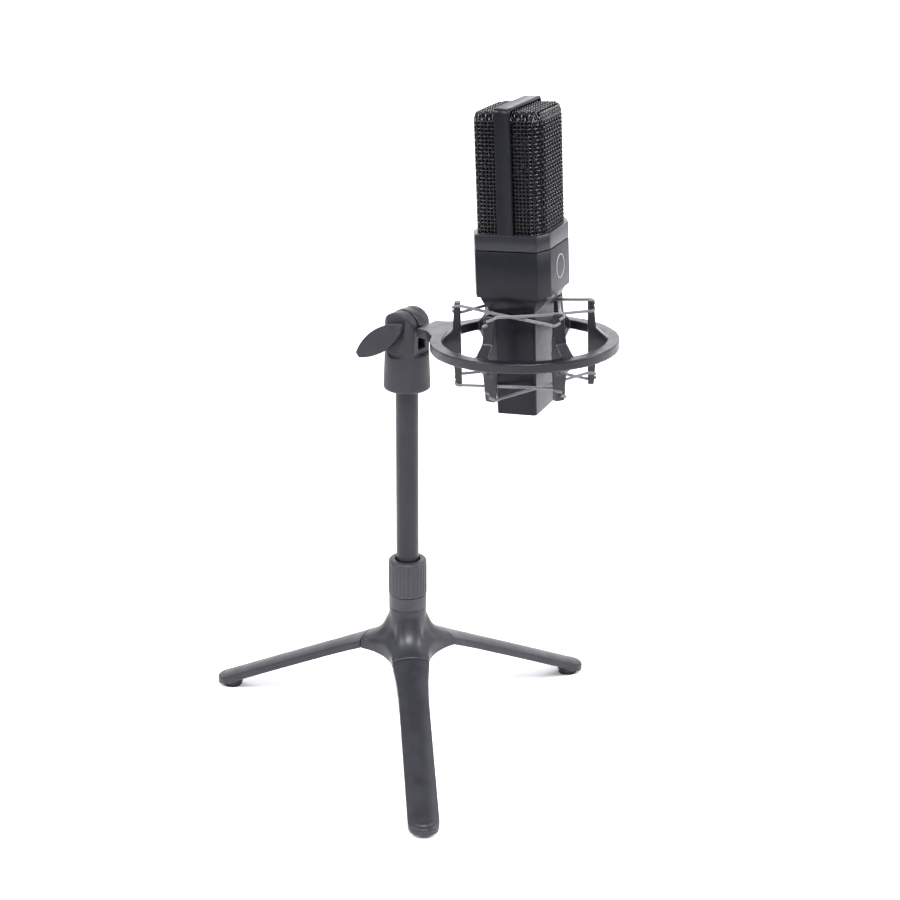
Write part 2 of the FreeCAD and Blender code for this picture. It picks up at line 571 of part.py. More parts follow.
def strand_shape(start_angle, side):
    """One elastic strand to the post after next: it falls from the outer groove to the inner one
    and, where its straight line would cut the microphone, bends round that corner."""
    radius = value("cord_radius")
    posts = []
    for angle, level in ((start_angle, value("cord_outer")), (start_angle + 120, value("cord_inner"))):
        turn = math.radians(angle - value("mic_turn"))
        reach = value("post_radius")
        posts.append(Vector(reach * math.cos(turn), reach * math.sin(turn), side * level))
    normal = math.radians(start_angle + 60 - value("mic_turn"))
    out = Vector(math.cos(normal), math.sin(normal), 0)
    half_width, half_depth = body_section(side * (value("cord_outer") + value("cord_inner")) / 2)
    corner = Vector(math.copysign(half_depth, out.x), math.copysign(half_width, out.y), 0)
    points = [posts[0], posts[1]]
    if corner.dot(out) + radius > posts[0].dot(out):
        along = (posts[1] - posts[0]).normalize()
        share = (corner - posts[0]).dot(along) / (posts[1] - posts[0]).Length
        bend = corner + out * (radius + 0.05)
        bend.z = posts[0].z + share * (posts[1].z - posts[0].z)
        points.insert(1, bend)
    strand = None
    for first, second in zip(points, points[1:]):
        run = Part.makeCylinder(radius, (second - first).Length, first, second - first)
        strand = run if strand is None else strand.fuse(run)
    for joint in points[1:-1]:
        strand = strand.fuse(Part.makeSphere(radius, joint))
    return strand


def build_elastics():
    for name, side in (("elastic_upper", 1), ("elastic_lower", -1)):
        strands = [strand_shape(30 + 60 * index, side) for index in range(6)]
        node(name, shaped(f"{name}_cord", strands[0].multiFuse(strands[1:])), MIC)


# ---------------------------------------------------------------- microphone
def octagon(inset, level):
    """The head's eight-sided outline, drawn in by an inset."""
    depth, width = value("head_depth") / 2 - inset, value("head_width") / 2 - inset
    side, front = value("side_flat") / 2 - 0.55 * inset, value("front_flat") / 2 - 0.25 * inset
    points = [(depth, front), (side, width), (-side, width), (-depth, front),
              (-depth, -front), (-side, -width), (side, -width), (depth, -front)]
    return ring_wire(points, level)


def slim_octagon(half_width, half_depth, level, inset=0.0):
    """The lower body's outline: a rectangle with its corners taken off."""
    width, depth, corner = half_width - inset, half_depth - inset, value("body_chamfer")
    points = [(depth, width - corner), (depth - corner, width), (corner - depth, width),
              (-depth, width - corner), (-depth, corner - width), (corner - depth, -width),
              (depth - corner, -width), (depth, corner - width)]
    return ring_wire(points, level)


def ring_wire(points, level):
    """A closed outline at one height."""
    corners = [Vector(x, y, level) for x, y in points]
    return Part.makePolygon(corners + corners[:1])


def octagon_prism(inset, bottom, top):
    """An upright block of the head's outline."""
    return Part.Face(octagon(inset, bottom)).extrude(Vector(0, 0, top - bottom))


def neck_ring(share, inset):
    """The neck's outline part of the way up from the slim body to the head."""
    low, high = value("body_level"), value("block_level")
    level = low + share * (high - low)
    spread = share + value("neck_bulge") * share * (1 - share)
    slim = slim_octagon(*body_section(low), level, inset).OrderedVertexes
    wide = octagon(value("neck_inset") + inset, level).OrderedVertexes
    points = [first.Point * (1 - spread) + second.Point * spread for first, second in zip(slim, wide)]
    return ring_wire([(point.x, point.y) for point in points], level)


def build_shells():
    wall = value("shell_wall")
    block_level, collar_level = value("block_level"), value("collar_level")
    floor = octagon_prism(wall, block_level + wall, collar_level + 1)
    opening = Part.makeBox(18, 26, 6, Vector(-9, -13, block_level - 2))
    shell = octagon_prism(0, block_level, collar_level).cut(floor).cut(opening)
    node("head_shell", shaped("head_block", shell), MIC)
    trim = octagon_prism(-0.05, collar_level, value("grille_level"))
    trim = trim.cut(octagon_prism(wall + 1.2, collar_level - 1, value("grille_level") + 1))
    node("head_collar", shaped("collar_trim", trim), MIC)
    # the neck bulges from the slim body out to just inside the head's outline
    upper, lower = body_section(value("body_level"))
    low = value("body_level")
    neck = Part.makeLoft([neck_ring(share, 0.0) for share in (0.0, 0.45, 1.0)], True, True)
    hollow = Part.makeLoft([neck_ring(share, wall) for share in (0.0, 0.45, 1.0)], True, True)
    node("neck_transition", shaped("neck", neck.cut(hollow)), MIC)
    tail = value("tail_level")
    tail_width, tail_depth = body_section(tail)
    body = Part.makeLoft([slim_octagon(tail_width, tail_depth, tail),
                          slim_octagon(upper, lower, low)], True, True)
    inside = Part.makeLoft([slim_octagon(tail_width, tail_depth, tail, wall),
                            slim_octagon(upper, lower, low, wall)], True, True)
    node("lower_body", shaped("slim_body", body.cut(inside)), MIC)


def build_tail():
    """The base plate and the three-contact inlet in the bottom of the body."""
    wall, tail = value("shell_wall"), value("tail_level")
    width, depth = body_section(tail)
    outline_wire = slim_octagon(width, depth, tail, wall + 0.1)
    plate = Part.Face(outline_wire).extrude(Vector(0, 0, value("plate_thickness")))
    plate = plate.cut(Part.makeCylinder(value("socket_radius"), 10, Vector(0, 0, tail - 1)))
    screws = []
    for index, side in enumerate((-1, 1)):
        spot = Vector(0, side * (width - wall - 2.4), tail - 1)
        plate = plate.cut(Part.makeCylinder(1.2, 10, spot))
        screws.append(cylinder(f"screw_{index}", "contact_radius", "plate_thickness * 3",
                               at(0, spot.y, tail + 0.2)))
    node("base_plate", shaped("plate", plate), MIC)
    node("base_screws", group("screws", screws), MIC)
    shell = tube("socket", "socket_radius", "socket_inner", "tail_level", "tail_level + socket_depth")
    node("connector_shell", shell, MIC)
    holder = cylinder("holder", "socket_inner", "tail_level + socket_depth - insert_level",
                      at(z=value("insert_level")))
    contacts, holes = [], []
    for index in range(3):
        angle = math.radians(90 + 120 * index)
        x, y = (value("contact_circle") * trig(angle) for trig in (math.cos, math.sin))
        place = at(x, y, value("tail_level + contact_recess"))
        contacts.append(cylinder(f"contact_{index}", "contact_radius", "socket_depth - 1", place))
        holes.append(cylinder(f"contact_hole_{index}", "contact_radius", "socket_depth", place))
    node("connector_insert", cut("insert_bored", holder, holes), MIC)
    node("contact_pins", group("contacts", contacts), MIC)


def build_grille():
    """Two half cages that meet under the hoop, each open at the bottom."""
    inset, wall = value("grille_inset"), value("grille_wall")
    bottom, top, rounding = value("grille_level"), value("grille_top"), value("grille_round")
    outer = octagon_prism(inset, bottom, top - rounding)
    cap = Part.makeLoft([octagon(inset, top - rounding), octagon(inset + rounding, top)], True, True)
    inner = octagon_prism(inset + wall, bottom - 1, top - rounding)
    inner_cap = Part.makeLoft([octagon(inset + wall, top - rounding),
                               octagon(inset + rounding + wall, top - wall)], True, True)
    cage = outer.fuse(cap).cut(inner.fuse(inner_cap)).removeSplitter()
    for name, corner in (("grille_front", 0.05), ("grille_rear", -60.05)):
        half = cage.common(Part.makeBox(60, 80, 120, Vector(corner, -40, bottom - 5)))
        node(name, shaped(f"{name}_cage", half), MIC)
    outline_points = [
        ("-head_width / 2", "grille_level"), ("-head_width / 2", "band_top - 3.5"),
        ("-head_width / 2 + 1", "band_top - 1"), ("-head_width / 2 + 3.5", "band_top"),
        ("head_width / 2 - 3.5", "band_top"), ("head_width / 2 - 1", "band_top - 1"),
        ("head_width / 2", "band_top - 3.5"), ("head_width / 2", "grille_level"),
        ("head_width / 2 - band_thickness + 0.1", "grille_level"),
        ("head_width / 2 - band_thickness + 0.1", "grille_top - grille_round + 0.1"),
        ("head_width / 2 - band_thickness - grille_round + 0.1", "grille_top + 0.1"),
        ("-head_width / 2 + band_thickness + grille_round - 0.1", "grille_top + 0.1"),
        ("-head_width / 2 + band_thickness - 0.1", "grille_top - grille_round + 0.1"),
        ("-head_width / 2 + band_thickness - 0.1", "grille_level")]
    node("head_band", padded("hoop", "YZ_Plane", outline_points, "band_width", both_ways=True), MIC)
    ring = tube("emblem", "emblem_radius", "emblem_radius - emblem_width", "0", "emblem_height")
    on_face = Placement(Vector(value("head_depth") / 2, 0, value("emblem_level")), Rotation(ACROSS, 90))
    node("emblem_ring", ring, MIC * on_face)


def build_inside():
    """The capsule on its saddle and deck, and the circuit board in the slim body."""
    level = value("capsule_level")
    thickness, deck = value("capsule_thickness"), value("collar_level")
    deck_plate = octagon_prism(value("shell_wall + 1.3"), deck + 1, deck + 3.5)
    deck_plate = deck_plate.cut(Part.makeCylinder(3, 20, Vector(0, 12, deck - 5)))
    node("capsule_deck", shaped("deck_plate", deck_plate), MIC)
    side_ways = Placement(Vector(-thickness / 2, 0, level), Rotation(ACROSS, 90))
    capsule = tube("capsule_ring", "capsule_radius", "2", "0", "capsule_thickness")
    node("capsule_body", capsule, MIC * side_ways)
    skins = []
    for index, offset in enumerate((-thickness / 2 - value("diaphragm_thickness"), thickness / 2)):
        skins.append(cylinder(f"skin_{index}", "diaphragm_radius", "diaphragm_thickness",
                              Placement(Vector(offset, 0, level), Rotation(ACROSS, 90))))
    node("capsule_diaphragms", group("skins", skins), MIC)
    cradle = Part.makeBox(6, 16, level - 6 - deck - 3.5, Vector(-3, -8, deck + 3.5))
    seat = Part.makeCylinder(value("capsule_radius"), 20, Vector(-10, 0, level), Vector(1, 0, 0))
    cradle = cradle.cut(seat)
    node("capsule_saddle", shaped("cradle", cradle), MIC)
    board = padded("board", "XZ_Plane", [
        ("-board_thickness / 2", "board_bottom"), ("board_thickness / 2", "board_bottom"),
        ("board_thickness / 2", "board_top"), ("-board_thickness / 2", "board_top")],
        "board_width", both_ways=True)
    node("circuit_board", board, MIC)
    parts = []
    start = value("board_thickness") / 2
    for index, (across, height, radius, length) in enumerate(
            ((-6, 14, 3, 5), (4, 12, 2.5, 4.5), (-3, 3, 2, 4), (7, 2, 2.5, 5), (0, 20, 1.5, 3))):
        parts.append(shaped(f"capacitor_{index}", Part.makeCylinder(
            radius, length, Vector(start, across, height), Vector(1, 0, 0))))
    node("board_components", group("components", parts), MIC)


def check_and_write():
    """Stop on any failed feature or bad shape; otherwise write each sub-part's file."""
    doc.recompute()
    for item in doc.Objects:
        if "Invalid" in item.State or "Error" in item.State:
            raise SystemExit(f"failed feature: {item.Name} {item.State}")
    os.makedirs("parts", exist_ok=True)
    for name, piece in nodes.items():
        shape = piece.Shape
        if shape.isNull() or not shape.isValid() or not shape.Solids:
            raise SystemExit(f"bad shape: {name}")
        shape.exportStep(os.path.join("parts", f"{name}.step"))
        box = shape.BoundBox
        print(f"{name:22s} solids {len(shape.Solids):2d} volume {shape.Volume / 1000:8.2f} cm3 "
              f"z {box.ZMin:7.2f} {box.ZMax:7.2f}")


build_tripod()
build_pole()
build_swivel()
build_thumb_screw()
build_shock_mount()
build_elastics()
build_shells()
build_tail()
build_grille()
build_inside()
check_and_write()
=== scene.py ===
import json
import math

import bmesh
import bpy
from mathutils import Matrix, Vector


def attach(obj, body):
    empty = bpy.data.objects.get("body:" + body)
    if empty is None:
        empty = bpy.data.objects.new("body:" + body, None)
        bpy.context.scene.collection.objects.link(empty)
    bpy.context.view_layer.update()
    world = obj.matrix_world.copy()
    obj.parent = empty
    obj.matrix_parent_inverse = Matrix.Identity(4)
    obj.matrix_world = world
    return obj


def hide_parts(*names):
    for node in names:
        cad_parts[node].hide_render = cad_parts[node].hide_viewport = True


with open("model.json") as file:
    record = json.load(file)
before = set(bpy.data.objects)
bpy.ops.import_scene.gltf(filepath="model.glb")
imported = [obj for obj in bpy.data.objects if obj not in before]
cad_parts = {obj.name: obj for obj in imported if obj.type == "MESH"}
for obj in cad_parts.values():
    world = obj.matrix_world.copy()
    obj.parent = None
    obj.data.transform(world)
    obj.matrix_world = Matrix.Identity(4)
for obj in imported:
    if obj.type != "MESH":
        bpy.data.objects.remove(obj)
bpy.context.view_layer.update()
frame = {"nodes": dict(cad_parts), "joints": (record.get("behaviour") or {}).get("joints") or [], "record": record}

MM = 0.001
NODES = frame["nodes"]
JOINTS = {joint["name"]: joint for joint in frame["joints"]}
MOUNTS = {mount["name"]: mount for mount in frame["record"]["mounts"]}
SLOTS = {row["node"]: row["material_slot"] for row in frame["record"]["subparts"]}
BODY_OF = {name: body for body, names in frame["record"]["behaviour"]["bodies"].items() for name in names}

# The microphone's own axes, from the frame: UP along its body, OUT from the pole to the ring, and
# ACROSS along the swivel's bolt, away from the thumb screw.
RING_REACH = 76.2 * MM
MIC_TURN = math.radians(11.0)
MIC_LEAN = math.radians(1.0)
HINGE = Vector(JOINTS["head_tilt"]["pos_m"])
ACROSS = -Vector(JOINTS["head_tilt"]["axis"]).normalized()
MIC_UP = -Vector(MOUNTS["connector_inlet"]["axis"]).normalized()
UP = Matrix.Rotation(MIC_LEAN, 3, ACROSS) @ MIC_UP
OUT = ACROSS.cross(UP).normalized()
RING = Matrix.Translation(HINGE + OUT * RING_REACH) @ Matrix((OUT, ACROSS, UP)).transposed().to_4x4()
MIC = RING @ Matrix.Rotation(-MIC_LEAN, 4, "Y") @ Matrix.Rotation(MIC_TURN, 4, "Z")


# ---------------------------------------------------------------- materials
# The band of a noise pattern's values that is spread over a finish's full range.
PATTERN_LOW, PATTERN_HIGH = 0.3, 0.7
NOISE_ROUGHNESS = 0.55


class Finish:
    """A procedural material under construction: a shader, object coordinates, and links between nodes."""

    def __init__(self, name, **sockets):
        self.material = bpy.data.materials.new(name)
        self.material.use_nodes = True
        self.tree = self.material.node_tree
        self.shader = self.tree.nodes["Principled BSDF"]
        for socket, setting in sockets.items():
            self.shader.inputs[socket.replace("_", " ")].default_value = setting
        self.coords = self.add("ShaderNodeTexCoord").outputs["Object"]

    def add(self, kind, **settings):
        node = self.tree.nodes.new(kind)
        for key, setting in settings.items():
            if key in node.inputs:
                node.inputs[key].default_value = setting
            else:
                setattr(node, key, setting)
        return node

    def link(self, source, target):
        self.tree.links.new(source, target)

    def noise(self, scale, detail=4.0):
        node = self.add("ShaderNodeTexNoise", Scale=scale, Detail=detail, Roughness=NOISE_ROUGHNESS)
        self.link(self.coords, node.inputs["Vector"])
        return node.outputs["Fac"]

    def spread(self, source, low, high, into):
        """Map a 0 to 1 pattern to a range of values on a shader socket."""
        node = self.add("ShaderNodeMapRange")
        node.inputs["From Min"].default_value = PATTERN_LOW
        node.inputs["From Max"].default_value = PATTERN_HIGH
        node.inputs["To Min"].default_value = low
        node.inputs["To Max"].default_value = high
        self.link(source, node.inputs["Value"])
        self.link(node.outputs["Result"], self.shader.inputs[into])

    def tint(self, source, dark, light):
        """Vary the base colour between two tones with a pattern."""
        node = self.add("ShaderNodeValToRGB")
        node.color_ramp.elements[0].position = PATTERN_LOW
        node.color_ramp.elements[1].position = PATTERN_HIGH
        node.color_ramp.elements[0].color = (*dark, 1)
        node.color_ramp.elements[1].color = (*light, 1)
        self.link(source, node.inputs["Fac"])
        self.link(node.outputs["Color"], self.shader.inputs["Base Color"])

    def bump(self, source, strength, depth_mm):
        """Raise the surface by a pattern, in the shading only."""
        node = self.add("ShaderNodeBump", Strength=strength, Distance=depth_mm * MM)
        self.link(source, node.inputs["Height"])
        self.link(node.outputs["Normal"], self.shader.inputs["Normal"])


def moulded_plastic(name, dark, light, rough, grain=2200.0, depth=0.03):
    """Satin moulded plastic: fine spark-eroded grain, and gloss that varies in soft patches."""
    finish = Finish(name, Specular_IOR_Level=0.34)
    finish.tint(finish.noise(60.0), dark, light)
    finish.spread(finish.noise(140.0, 6.0), rough - 0.06, rough + 0.08, "Roughness")
    finish.bump(finish.noise(grain, 2.0), 0.5, depth)
    return finish.material


def painted_metal(name, dark, light, rough, coat=0.0, sheen=0.3):
    """Powder-coated metal: a smooth film with faint orange peel."""
    finish = Finish(name, Specular_IOR_Level=sheen, Coat_Weight=coat, Coat_Roughness=0.1)
    finish.tint(finish.noise(40.0), dark, light)
    finish.spread(finish.noise(220.0, 5.0), rough - 0.03, rough + 0.04, "Roughness")
    finish.bump(finish.noise(900.0, 2.0), 0.2, 0.008)
    return finish.material


def bare_metal(name, dark, light, rough):
    """Machined or plated metal with fine tool marks."""
    finish = Finish(name, Metallic=1.0)
    finish.tint(finish.noise(300.0), dark, light)
    finish.spread(finish.noise(900.0), rough - 0.06, rough + 0.08, "Roughness")
    finish.bump(finish.noise(2500.0), 0.3, 0.01)
    return finish.material


def rubber(name):
    """Matt black rubber."""
    finish = Finish(name, Specular_IOR_Level=0.3)
    finish.tint(finish.noise(200.0), (0.009, 0.009, 0.010), (0.016, 0.016, 0.017))
    finish.spread(finish.noise(400.0), 0.7, 0.9, "Roughness")
    finish.bump(finish.noise(1500.0), 0.6, 0.05)
    return finish.material


def braided_cord(name):
    """Elastic in a woven sleeve: a fine diagonal braid."""
    finish = Finish(name, Sheen_Weight=0.3, Specular_IOR_Level=0.35)
    weave = finish.add("ShaderNodeTexWave", Scale=900.0, Distortion=2.0, bands_direction="DIAGONAL")
    finish.link(finish.coords, weave.inputs["Vector"])
    finish.tint(weave.outputs["Fac"], (0.03, 0.03, 0.036), (0.13, 0.13, 0.145))
    finish.spread(weave.outputs["Fac"], 0.55, 0.75, "Roughness")
    finish.bump(weave.outputs["Fac"], 0.7, 0.08)
    return finish.material


def printed_board(name):
    """Green laminate with a squared pattern of copper tracks under it."""
    finish = Finish(name)
    tracks = finish.add("ShaderNodeTexVoronoi", Scale=600.0, distance="MANHATTAN")
    finish.link(finish.coords, tracks.inputs["Vector"])
    finish.tint(tracks.outputs["Distance"], (0.01, 0.09, 0.035), (0.02, 0.16, 0.06))
    finish.spread(tracks.outputs["Distance"], 0.35, 0.5, "Roughness")
    return finish.material


BLACK, SOOT = (0.003, 0.003, 0.0045), (0.006, 0.006, 0.0085)
GRAPHITE, SLATE = (0.011, 0.011, 0.016), (0.018, 0.018, 0.024)
FINISHES = {
    "tripod_plastic": moulded_plastic("tripod_plastic", SOOT, GRAPHITE, 0.40),
    "lock_plastic": moulded_plastic("lock_plastic", (0.014, 0.014, 0.018), (0.020, 0.020, 0.026), 0.42),
    "swivel_plastic": moulded_plastic("swivel_plastic", SOOT, GRAPHITE, 0.46, 1200.0, 0.06),
    "mount_plastic": moulded_plastic("mount_plastic", BLACK, SOOT, 0.32),
    "insert_plastic": moulded_plastic("insert_plastic", BLACK, SOOT, 0.5),
    "component_body": moulded_plastic("component_body", SOOT, SLATE, 0.4),
    "pole_paint": painted_metal("pole_paint", SOOT, GRAPHITE, 0.34, 0.0, 0.24),
    "mic_paint": painted_metal("mic_paint", BLACK, (0.005, 0.005, 0.008), 0.34, 0.0, 0.14),
    "collar_satin": painted_metal("collar_satin", (0.006, 0.006, 0.009), (0.009, 0.009, 0.013),
                                  0.32, 0.05, 0.2),
    "emblem_grey": painted_metal("emblem_grey", (0.20, 0.20, 0.21), (0.26, 0.26, 0.27), 0.5),
    "bright_steel": bare_metal("bright_steel", (0.42, 0.42, 0.43), (0.56, 0.56, 0.57), 0.30),
    "thread_brass": bare_metal("thread_brass", (0.62, 0.46, 0.20), (0.75, 0.58, 0.28), 0.28),
    "contact_plate": bare_metal("contact_plate", (0.68, 0.55, 0.28), (0.80, 0.66, 0.36), 0.22),
    "capsule_metal": bare_metal("capsule_metal", (0.50, 0.40, 0.20), (0.66, 0.54, 0.30), 0.35),
    "diaphragm_gold": bare_metal("diaphragm_gold", (0.75, 0.60, 0.28), (0.86, 0.70, 0.36), 0.2),
    "grille_wire": painted_metal("grille_wire", BLACK, (0.004, 0.004, 0.005), 0.2, 0.5, 0.1),
    "foot_rubber": rubber("foot_rubber"),
    "elastic_cord": braided_cord("elastic_cord"),
    "board_laminate": printed_board("board_laminate"),
}


# ---------------------------------------------------------------- mesh helpers
WELD = 0.002        # millimetres within which vertices are merged
RELAX = 0.5         # how far one relaxing pass moves a vertex towards its neighbours


def clamped(share):
    return min(max(share, 0.0), 1.0)


def plain_object(name, mesh):
    piece = bpy.data.objects.new(name, mesh)
    bpy.context.scene.collection.objects.link(piece)
    return piece


def baked(piece):
    """The piece with its modifiers applied, as a plain mesh."""
    graph = bpy.context.evaluated_depsgraph_get()
    mesh = bpy.data.meshes.new_from_object(piece.evaluated_get(graph))
    old = piece.data
    piece.modifiers.clear()
    piece.data = mesh
    if old.users == 0:
        bpy.data.meshes.remove(old)
    return piece


def finish_piece(piece, node):
    """Give a piece its material and body, and let it stand for its CAD node."""
    slot = SLOTS[node]
    piece.data.materials.clear()
    piece.data.materials.append(FINISHES[slot])
    for face in piece.data.polygons:
        face.use_smooth = True
    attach(piece, BODY_OF[node])
    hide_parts(node)
    return piece


def merged_copy(node, name):
    """A welded copy of a CAD node's mesh."""
    shape = bmesh.new()
    shape.from_mesh(NODES[node].data)
    bmesh.ops.remove_doubles(shape, verts=shape.verts, dist=WELD * MM)
    mesh = bpy.data.meshes.new(name)
    shape.to_mesh(mesh)
    shape.free()
    return plain_object(name, mesh)


def fine_skin(node, name, voxel):
    """The CAD shape rebuilt as one fine, even skin; the modifier is still to be applied."""
    piece = merged_copy(node, name)
    remesh = piece.modifiers.new("fine skin", "REMESH")
    remesh.mode = "VOXEL"
    remesh.voxel_size = voxel * MM
    return piece


def softened(node, name, voxel, passes):
    """A moulding with rolled edges and blended corners: the CAD shape, rebuilt finely and relaxed."""
    piece = fine_skin(node, name, voxel)
    relax = piece.modifiers.new("relax", "SMOOTH")
    relax.iterations = passes
    relax.factor = RELAX
    return finish_piece(baked(piece), node)


def turned_corner(before, corner, after, reach, steps):
    """A corner rolled into a curve that starts and ends a reach away from it."""
    start = corner + (before - corner).normalized() * reach
    end = corner + (after - corner).normalized() * reach
    curve = []
    for index in range(steps):
        share = index / (steps - 1)
        curve.append(start * (1 - share) ** 2 + corner * 2 * share * (1 - share) + end * share ** 2)
    return curve


def eased(corners, rounding, steps=5):
    """A closed outline with each corner turned in a small curve."""
    result = []
    for before, corner, after in zip(corners[-1:] + corners[:-1], corners, corners[1:] + corners[:1]):
        result += turned_corner(before, corner, after, rounding, steps)
    return result


def ringed(name, node, rings, place, angle=35):
    """A closed skin over rings of points; the last ring joins the first."""
    count = len(rings[0])
    vertices = [place @ (Vector(point) * MM) for ring in rings for point in ring]
    faces = []
    for level in range(len(rings)):
        following = (level + 1) % len(rings)
        for index in range(count):
            beside = (index + 1) % count
            faces.append((level * count + index, level * count + beside,
                          following * count + beside, following * count + index))
    mesh = bpy.data.meshes.new(name)
    mesh.from_pydata(vertices, [], faces)
    shape = bmesh.new()
    shape.from_mesh(mesh)
    bmesh.ops.recalc_face_normals(shape, faces=shape.faces)
    shape.to_mesh(mesh)
    shape.free()
    piece = finish_piece(plain_object(name, mesh), node)
    mesh.set_sharp_from_angle(angle=math.radians(angle))
    return piece


def shell(name, node, outline, profile, rounding=0.8):
    """An upright hollow piece: a closed profile of (inset, height) carried round an outline."""
    rings = []
    for inset, level in profile:
        ring = eased(outline(inset, level), rounding)
        rings.append([(point.x, point.y, level) for point in ring])
    return ringed(name, node, rings, MIC)


def eased_side(low, high, ease):
    """An outer face's profile, with its two edges eased."""
    return [(ease, low), (ease * 0.3, low + ease * 0.3), (0, low + ease), (0, high - ease),
            (ease * 0.3, high - ease * 0.3), (ease, high)]


def wire_tree(name):
    """Geometry Nodes: every run of edges becomes a round wire of one material."""
    tree = bpy.data.node_groups.new(name, "GeometryNodeTree")
    tree.interface.new_socket("Geometry", in_out="INPUT", socket_type="NodeSocketGeometry")
    tree.interface.new_socket("Geometry", in_out="OUTPUT", socket_type="NodeSocketGeometry")
    for label, kind in (("Wire radius", "NodeSocketFloat"), ("Sides", "NodeSocketInt"),
                        ("Material", "NodeSocketMaterial")):
        tree.interface.new_socket(label, in_out="INPUT", socket_type=kind)
    add = tree.nodes.new
    source, target = add("NodeGroupInput"), add("NodeGroupOutput")
    curve, ring = add("GeometryNodeMeshToCurve"), add("GeometryNodeCurvePrimitiveCircle")
    sweep, shade = add("GeometryNodeCurveToMesh"), add("GeometryNodeSetShadeSmooth")
    realize, paint = add("GeometryNodeRealizeInstances"), add("GeometryNodeSetMaterial")
    sweep.inputs["Fill Caps"].default_value = True
    links = [(source, "Geometry", curve, "Mesh"), (curve, "Curve", sweep, "Curve"),
             (source, "Wire radius", ring, "Radius"), (source, "Sides", ring, "Resolution"),
             (ring, "Curve", sweep, "Profile Curve"), (sweep, "Mesh", shade, "Geometry"),
             (shade, "Geometry", realize, "Geometry"), (realize, "Geometry", paint, "Geometry"),
             (source, "Material", paint, "Material"), (paint, "Geometry", target, "Geometry")]
    for from_node, output, to_node, entry in links:
        tree.links.new(from_node.outputs[output], to_node.inputs[entry])
    return tree


WIRES = wire_tree("wires along edges")


def wires(name, runs, radius, sides, slot, place):
    """Round wires along lists of points, in millimetres in the place's own axes."""
    points, edges = [], []
    for run in runs:
        start = len(points)
        points += [place @ (Vector(point) * MM) for point in run]
        edges += [(start + step, start + step + 1) for step in range(len(run) - 1)]
    mesh = bpy.data.meshes.new(name)
    mesh.from_pydata(points, edges, [])
    piece = plain_object(name, mesh)
    sweep = piece.modifiers.new("wires", "NODES")
    sweep.node_group = WIRES
    settings = {"Wire radius": radius * MM, "Sides": sides, "Material": FINISHES[slot]}
    for item in WIRES.interface.items_tree:
        if item.in_out == "INPUT" and item.name in settings:
            sweep[item.identifier] = settings[item.name]
    return baked(piece)


# ---------------------------------------------------------------- woven grille
# Sizes from here to the studio are in millimetres: in the microphone's axes as far as its body, and
# in the object's own for the hub.
HEAD_WIDTH, HEAD_DEPTH, SIDE_FLAT, FRONT_FLAT = 51.6, 42.6, 33.8, 31.6
SIDE_DRAW, FRONT_DRAW = 0.55, 0.25          # how fast each flat shortens as the outline is drawn in
GRILLE_INSET, GRILLE_BOTTOM, GRILLE_TOP, GRILLE_ROUND = 2.8, 64.2, 126.6, 3.2
WIRE_RADIUS, WIRE_PITCH, WIRE_SIDES = 0.42, 1.95, 5
LINER_RADIUS, LINER_PITCH, LINER_SIDES, LINER_DEPTH = 0.30, 0.82, 3, 1.3
WEAVE_LIFT = 0.95                           # of a wire's radius, each way
CORNER_ROUND, CORNER_STEPS = 2.2, 9
RIM_SHOULDER, RIM_OVERLAP, RIM_SEARCHES = 0.9, 1.2, 12
EDGE_SLACK, SPLIT_SLACK = 0.05, 0.01        # so that a point on a border counts as inside


def cage_outline(inset):
    """The cage's eight corners, drawn in by an inset."""
    depth, width = HEAD_DEPTH / 2 - inset, HEAD_WIDTH / 2 - inset
    side, front = SIDE_FLAT / 2 - SIDE_DRAW * inset, FRONT_FLAT / 2 - FRONT_DRAW * inset
    return [Vector(pair) for pair in (
        (depth, -front), (depth, front), (side, width), (-side, width),
        (-depth, front), (-depth, -front), (-side, -width), (side, -width))]


def cage_path(inset, step):
    """Points round the cage, evenly spaced, with their outward directions and rounded corners."""
    dense = eased(cage_outline(inset), CORNER_ROUND, CORNER_STEPS)
    lengths = [0.0]
    for first, second in zip(dense, dense[1:] + dense[:1]):
        lengths.append(lengths[-1] + (second - first).length)
    total = lengths[-1]
    count = 2 * round(total / (2 * step))
    result = []
    segment = 0
    for index in range(count):
        distance = total * index / count
        while lengths[segment + 1] < distance:
            segment += 1
        first, second = dense[segment], dense[(segment + 1) % len(dense)]
        share = (distance - lengths[segment]) / max(lengths[segment + 1] - lengths[segment], 1e-9)
        along = (second - first).normalized()
        result.append((first.lerp(second, share), Vector((along.y, -along.x))))
    return result


def edge_distance(x, y, corners):
    """How far a point on the top is inside the cage's outline."""
    distances = []
    for first, second in zip(corners, corners[1:] + corners[:1]):
        along = (second - first).normalized()
        inward = Vector((-along.y, along.x))
        distances.append((Vector((x, y)) - first).dot(inward))
    return min(distances)


def top_height(x, y, corners):
    """The pressed top: flat in the middle, rolled over at its edge."""
    distance = edge_distance(x, y, corners)
    if distance >= GRILLE_ROUND:
        return GRILLE_TOP
    slack = GRILLE_ROUND - max(distance, 0.0)
    return GRILLE_TOP - GRILLE_ROUND + math.sqrt(max(GRILLE_ROUND ** 2 - slack ** 2, 0.0))


def rolled_end(spot, step, corners):
    """From a top wire's last crossing, over the rolled edge and down onto the sides."""
    inside, outside = 0.0, 1.0
    for _ in range(RIM_SEARCHES):
        middle = (inside + outside) / 2
        if edge_distance(*(spot + step * middle), corners) > 0:
            inside = middle
        else:
            outside = middle
    points = []
    shoulder = spot + step * max(inside - RIM_SHOULDER / step.length, 0.0)
    if (shoulder - spot).length > RIM_SHOULDER / 3:
        points.append((shoulder.x, shoulder.y, top_height(shoulder.x, shoulder.y, corners)))
    rim = spot + step * inside
    return points + [(rim.x, rim.y, GRILLE_TOP - GRILLE_ROUND - RIM_OVERLAP)]


